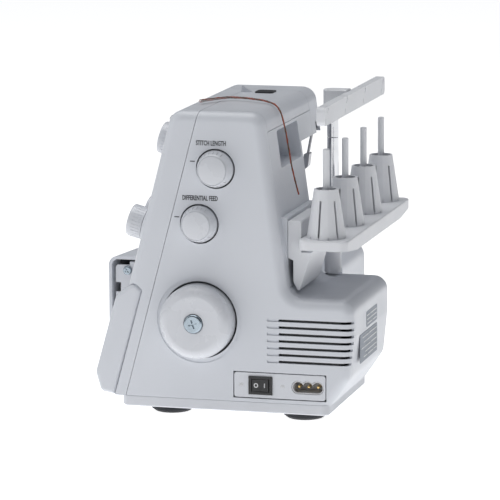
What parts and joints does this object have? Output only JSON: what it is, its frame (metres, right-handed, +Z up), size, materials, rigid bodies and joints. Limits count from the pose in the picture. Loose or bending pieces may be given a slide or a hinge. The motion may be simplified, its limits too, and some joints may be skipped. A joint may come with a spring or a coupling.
{
  "type": "overlock sewing machine",
  "caption": "Home overlock machine with a turning handwheel, dials, hinged looper cover, thread stand with cone holders and a telescopic guide pole.",
  "frame": {"origin": "on the table, under the middle of the whole machine", "axes": "+X the operator's right (handwheel side), -Y the front, +Z up"},
  "size_m": [0.322, 0.276, 0.297],
  "materials": {
    "white_cover": "satin moulded white",
    "white_front": "satin moulded white",
    "white_tray": "fine moulded white",
    "white_knob": "satin moulded white",
    "dark_rubber": "dull moulded",
    "frame_metal": "painted casting",
    "steel": "ground",
    "chrome": "bright",
    "bronze": "sintered",
    "brass": "turned",
    "black_plastic": "fine black",
    "motor_metal": "black paint",
    "belt_rubber": "ribbed",
    "aluminium": "turned",
    "spring_steel": "drawn wire",
    "felt_disc": "polished",
    "thread": "twisted thread"
  },
  "bodies": {
    "machine_body": {"base_pan": "white_tray", "rubber_feet": "dark_rubber", "main_frame": "frame_metal", "shaft_bearings": "bronze", "motor": "motor_metal", "drive_belt": "belt_rubber", "right_cover": "white_cover", "front_cover": "white_front", "top_cover": "white_cover", "rear_cover": "white_cover", "motor_cover": "white_cover", "head_end_cover": "white_front", "lower_front_cover": "white_front", "bed_cover": "white_cover", "needle_plate": "steel", "looper_bracket": "white_cover", "casing_screws": "steel", "tension_studs": "steel", "tension_discs": "felt_disc", "tension_springs": "spring_steel", "power_panel": "white_tray", "switch_frame": "black_plastic", "inlet_socket": "white_tray", "inlet_pins": "brass", "presser_spring": "spring_steel", "lower_knife": "steel", "tray_bracket": "white_tray", "spool_tray": "white_tray", "cone_holders": "white_tray", "spool_pins": "white_tray", "pole_tube": "chrome", "thread_guides": "chrome", "thread_tail": "thread"},
    "main_shaft": {"main_shaft": "steel", "driven_pulley": "black_plastic", "handwheel": "white_knob", "handwheel_screw": "chrome"},
    "motor_rotor": {"motor_pulley": "aluminium"},
    "stitch_dial": {"stitch_dial": "white_knob"},
    "feed_dial": {"feed_dial": "white_knob"},
    "tension_dial_1": {"tension_dial_1": "white_knob"},
    "tension_dial_2": {"tension_dial_2": "white_knob"},
    "tension_dial_3": {"tension_dial_3": "white_knob"},
    "tension_dial_4": {"tension_dial_4": "white_knob"},
    "switch_rocker": {"switch_rocker": "black_plastic"},
    "cover_slide": {"cover_hinge_rod": "steel"},
    "looper_cover": {"looper_cover": "white_front"},
    "needle_rocker": {"needle_rocker": "steel"},
    "needle_bar": {"needle_bar": "steel", "needle_clamp": "steel", "needles": "chrome"},
    "lifter": {"lifter_lever": "spring_steel"},
    "presser": {"presser_bar": "steel", "presser_foot": "chrome"},
    "feed_dogs": {"feed_dogs": "steel"},
    "lower_looper": {"lower_looper": "steel"},
    "upper_looper": {"upper_looper": "steel"},
    "upper_knife": {"upper_knife": "steel"},
    "pole_rod": {"pole_rod": "chrome"},
    "guide_bar": {"guide_bar": "white_tray"}
  },
  "joints": [
    {"name": "handwheel_turn", "type": "hinge", "parent": "machine_body", "child": "main_shaft", "pos_m": [0.148, -0.01, 0.093], "axis": [1, 0, 0], "continuous": true},
    {"name": "motor_turn", "type": "hinge", "parent": "machine_body", "child": "motor_rotor", "pos_m": [0.109, 0.104, 0.072], "axis": [1, 0, 0], "continuous": true},
    {"name": "stitch_dial_turn", "type": "hinge", "parent": "machine_body", "child": "stitch_dial", "pos_m": [0.139, 0.007, 0.237], "axis": [1, 0, 0], "range_deg": [0, 300]},
    {"name": "feed_dial_turn", "type": "hinge", "parent": "machine_body", "child": "feed_dial", "pos_m": [0.139, -0.009, 0.1845], "axis": [1, 0, 0], "range_deg": [0, 270]},
    {"name": "tension_dial_1_turn", "type": "hinge", "parent": "machine_body", "child": "tension_dial_1", "pos_m": [0.107, -0.06647, 0.176], "axis": [0, -0.9673, 0.2534], "range_deg": [-150, 150]},
    {"name": "tension_dial_2_turn", "type": "hinge", "parent": "machine_body", "child": "tension_dial_2", "pos_m": [0.054, -0.06647, 0.176], "axis": [0, -0.9673, 0.2534], "range_deg": [-150, 150]},
    {"name": "tension_dial_3_turn", "type": "hinge", "parent": "machine_body", "child": "tension_dial_3", "pos_m": [0.067, -0.04708, 0.25], "axis": [0, -0.9673, 0.2534], "range_deg": [-150, 150]},
    {"name": "tension_dial_4_turn", "type": "hinge", "parent": "machine_body", "child": "tension_dial_4", "pos_m": [0.014, -0.04708, 0.25], "axis": [0, -0.9673, 0.2534], "range_deg": [-150, 150]},
    {"name": "switch_rock", "type": "hinge", "parent": "machine_body", "child": "switch_rocker", "pos_m": [0.137, 0.0495, 0.03325], "axis": [0, 0, 1], "range_deg": [-8.4, 0]},
    {"name": "cover_shift", "type": "slide", "parent": "machine_body", "child": "cover_slide", "axis": [1, 0, 0], "range_m": [0, 0.006]},
    {"name": "cover_tilt", "type": "hinge", "parent": "cover_slide", "child": "looper_cover", "pos_m": [0, -0.112, 0.034], "axis": [1, 0, 0], "range_deg": [0, 55]},
    {"name": "needle_rocker_swing", "type": "hinge", "parent": "machine_body", "child": "needle_rocker", "pos_m": [0, 0.003, 0.236], "axis": [1, 0, 0], "range_deg": [0, 46]},
    {"name": "needle_bar_stroke", "type": "slide", "parent": "machine_body", "child": "needle_bar", "axis": [0, 0, -1], "range_m": [0, 0.0258]},
    {"name": "lifter_swing", "type": "hinge", "parent": "machine_body", "child": "lifter", "pos_m": [-0.056, 0.046, 0.256], "axis": [1, 0, 0], "range_deg": [0, 50]},
    {"name": "presser_lift", "type": "slide", "parent": "machine_body", "child": "presser", "axis": [0, 0, 1], "range_m": [0, 0.0055], "deforming": ["presser_spring"]},
    {"name": "feed_travel", "type": "slide", "parent": "machine_body", "child": "feed_dogs", "axis": [0, 1, 0], "range_m": [-0.002, 0.002]},
    {"name": "lower_looper_swing", "type": "hinge", "parent": "machine_body", "child": "lower_looper", "pos_m": [-0.006, -0.06, 0.046], "axis": [0, 1, 0], "range_deg": [-6, 6]},
    {"name": "upper_looper_swing", "type": "hinge", "parent": "machine_body", "child": "upper_looper", "pos_m": [-0.044, -0.06, 0.04], "axis": [0, 1, 0], "range_deg": [-5, 5]},
    {"name": "upper_knife_swing", "type": "hinge", "parent": "machine_body", "child": "upper_knife", "pos_m": [0, -0.059, 0.072], "axis": [1, 0, 0], "range_deg": [-2, 2]},
    {"name": "pole_extend", "type": "slide", "parent": "machine_body", "child": "pole_rod", "axis": [0, 0, 1], "range_m": [0, 0.105]},
    {"name": "guide_bar_swivel", "type": "hinge", "parent": "pole_rod", "child": "guide_bar", "pos_m": [0, 0.0852, 0.288], "axis": [0, 0, 1], "range_deg": [-15, 15]}
  ],
  "couplings": [
    {"joint": "motor_turn", "follows": "handwheel_turn", "ratio": 3},
    {"joint": "needle_bar_stroke", "follows": "needle_rocker_swing", "m_per_rad": 0.032135},
    {"joint": "lifter_swing", "follows": "presser_lift", "rad_per_m": 158.66}
  ]
}
